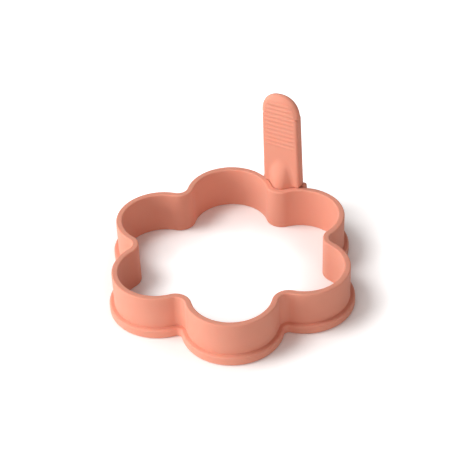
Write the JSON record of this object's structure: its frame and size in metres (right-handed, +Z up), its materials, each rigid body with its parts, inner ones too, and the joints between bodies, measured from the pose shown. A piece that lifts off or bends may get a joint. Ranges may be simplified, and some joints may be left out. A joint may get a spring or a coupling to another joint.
{
  "type": "egg ring",
  "caption": "Flower-shaped silicone egg ring: lobed wall with a foot flange and a ribbed upright handle that folds outwards on a pin.",
  "frame": {"origin": "on the table under the middle of the ring, at the underside of the flange", "axes": "+Z up out of the table, a lobe points along -Y, the handle's valley lies 60 degrees from +X towards +Y"},
  "size_m": [0.1062, 0.116, 0.0679],
  "materials": {
    "coral_silicone": "matt moulded silicone, coral",
    "pin_steel": "plain drawn pin"
  },
  "bodies": {
    "ring": {"ring_body": "coral_silicone", "hinge_pin": "pin_steel"},
    "handle": {"handle": "coral_silicone"}
  },
  "joints": [
    {"name": "handle_fold", "type": "hinge", "parent": "ring", "child": "handle", "pos_m": [0.0257, 0.04452, 0.0192], "axis": [-0.866, 0.5, 0], "range_deg": [0, 92]}
  ]
}
